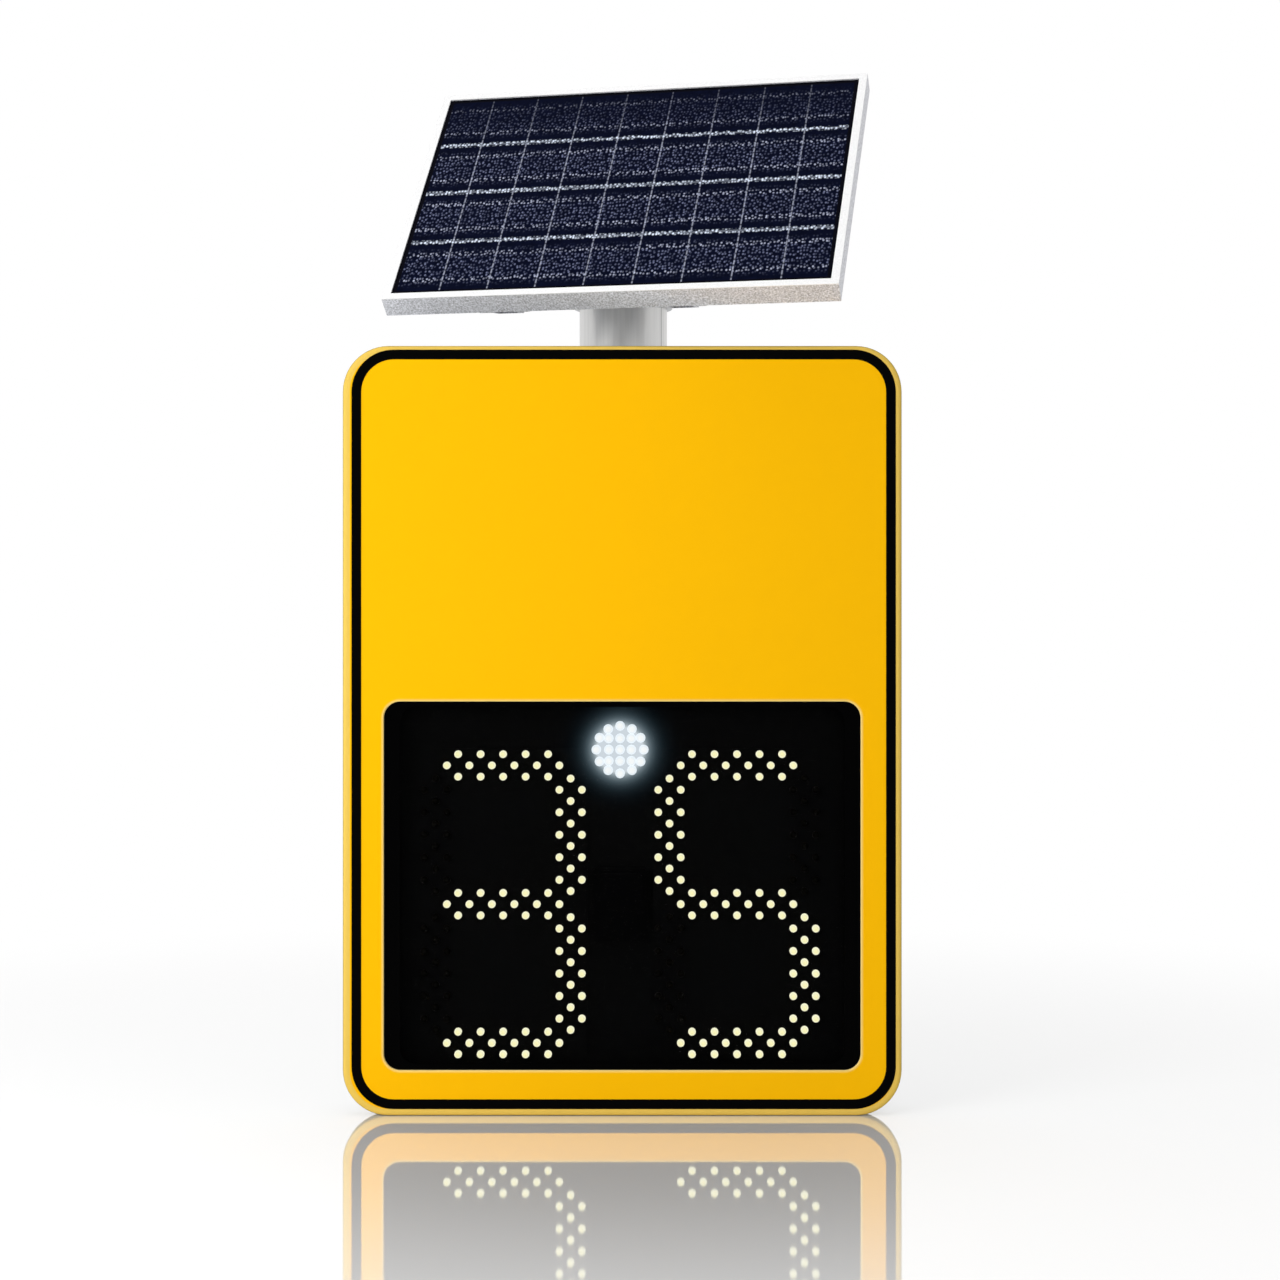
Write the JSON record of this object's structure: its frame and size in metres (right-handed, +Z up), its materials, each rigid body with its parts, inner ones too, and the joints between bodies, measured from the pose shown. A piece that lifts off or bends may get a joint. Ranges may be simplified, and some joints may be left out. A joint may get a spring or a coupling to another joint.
{
  "type": "radar speed sign",
  "caption": "Pole-mounted radar speed sign: yellow face with LED digits and strobe, hinged cabinet, clamps, pole stub and a tilting solar panel.",
  "frame": {"origin": "centre of the pole's open lower end, level with the bottom of the sign's face", "axes": "+Z up along the pole, the face looks along -Y, +X to the right of someone reading the sign"},
  "size_m": [0.61, 0.3622, 1.1784],
  "materials": {
    "galvanised_tube": "dull bright metal, drawn along its length",
    "zinc_steel": "zinc plated",
    "bright_steel": "stainless",
    "cast_aluminium": "satin casting",
    "cabinet_aluminium": "matt powder coat",
    "frame_aluminium": "clear anodised",
    "lock_chrome": "polished",
    "yellow_sheeting": "retroreflective yellow sheeting",
    "black_metal": "matt black",
    "black_board": "black solder mask",
    "black_plastic": "moulded",
    "battery_case": "moulded",
    "green_board": "solder mask",
    "black_rubber": "foam rubber",
    "clear_pane": "clear, hard coated",
    "solar_glass": "tempered glass over dark cells",
    "amber_lens_lit": "lit",
    "amber_lens_dark": "unlit",
    "white_lens_lit": "lit"
  },
  "bodies": {
    "mast_and_cabinet": {"pole": "galvanised_tube", "lower_pole_bracket": "zinc_steel", "upper_pole_bracket": "zinc_steel", "lower_pole_clamp": "zinc_steel", "upper_pole_clamp": "zinc_steel", "pole_saddles": "cast_aluminium", "clamp_bolts": "bright_steel", "cabinet": "cabinet_aluminium", "door_seal": "black_rubber", "cable_gland": "black_plastic", "battery": "battery_case", "battery_strap": "bright_steel", "controller_board": "green_board", "charge_controller": "black_metal", "hinge_cabinet_leaves": "bright_steel", "hinge_pins": "bright_steel", "lock_barrels": "lock_chrome"},
    "front_door": {"face_panel": "yellow_sheeting", "window_seal": "black_rubber", "display_window": "clear_pane", "window_retainer": "black_metal", "display_carrier": "black_metal", "carrier_standoffs": "bright_steel", "left_digit_board": "black_board", "right_digit_board": "black_board", "left_digit_top_leds": "amber_lens_lit", "left_digit_upper_left_leds": "amber_lens_dark", "left_digit_upper_right_leds": "amber_lens_lit", "left_digit_middle_leds": "amber_lens_lit", "left_digit_lower_left_leds": "amber_lens_dark", "left_digit_lower_right_leds": "amber_lens_lit", "left_digit_bottom_leds": "amber_lens_lit", "right_digit_top_leds": "amber_lens_lit", "right_digit_upper_left_leds": "amber_lens_lit", "right_digit_upper_right_leds": "amber_lens_dark", "right_digit_middle_leds": "amber_lens_lit", "right_digit_lower_left_leds": "amber_lens_dark", "right_digit_lower_right_leds": "amber_lens_lit", "right_digit_bottom_leds": "amber_lens_lit", "strobe_board": "black_board", "strobe_leds": "white_lens_lit", "radar_module": "black_plastic", "hinge_door_leaves": "bright_steel", "lock_keepers": "bright_steel"},
    "upper_cam": {"upper_lock_cam": "lock_chrome"},
    "lower_cam": {"lower_lock_cam": "lock_chrome"},
    "swivel_head": {"pole_cap": "cast_aluminium", "cap_set_screws": "bright_steel", "tilt_pivot_bolt": "bright_steel", "tilt_lock_bolt": "bright_steel"},
    "solar_panel": {"tilt_bracket": "zinc_steel", "left_support_strut": "frame_aluminium", "right_support_strut": "frame_aluminium", "frame_bottom_rail": "frame_aluminium", "frame_top_rail": "frame_aluminium", "frame_left_rail": "frame_aluminium", "frame_right_rail": "frame_aluminium", "solar_laminate": "solar_glass", "junction_box": "black_plastic"}
  },
  "joints": [
    {"name": "door_hinge", "type": "hinge", "parent": "mast_and_cabinet", "child": "front_door", "pos_m": [-0.297, -0.145, 0.42], "axis": [0, 0, -1], "range_deg": [0, 110]},
    {"name": "upper_lock", "type": "hinge", "parent": "mast_and_cabinet", "child": "upper_cam", "pos_m": [0.28, -0.1298, 0.715], "axis": [-1, 0, 0], "range_deg": [0, 90]},
    {"name": "lower_lock", "type": "hinge", "parent": "mast_and_cabinet", "child": "lower_cam", "pos_m": [0.28, -0.1298, 0.125], "axis": [-1, 0, 0], "range_deg": [0, 90]},
    {"name": "panel_swivel", "type": "hinge", "parent": "mast_and_cabinet", "child": "swivel_head", "pos_m": [0, 0, 0.92], "axis": [0, 0, 1], "range_deg": [-180, 180]},
    {"name": "panel_tilt", "type": "hinge", "parent": "swivel_head", "child": "solar_panel", "pos_m": [0, 0, 0.994], "axis": [0.9744, -0.225, 0], "range_deg": [-35, 15]}
  ]
}
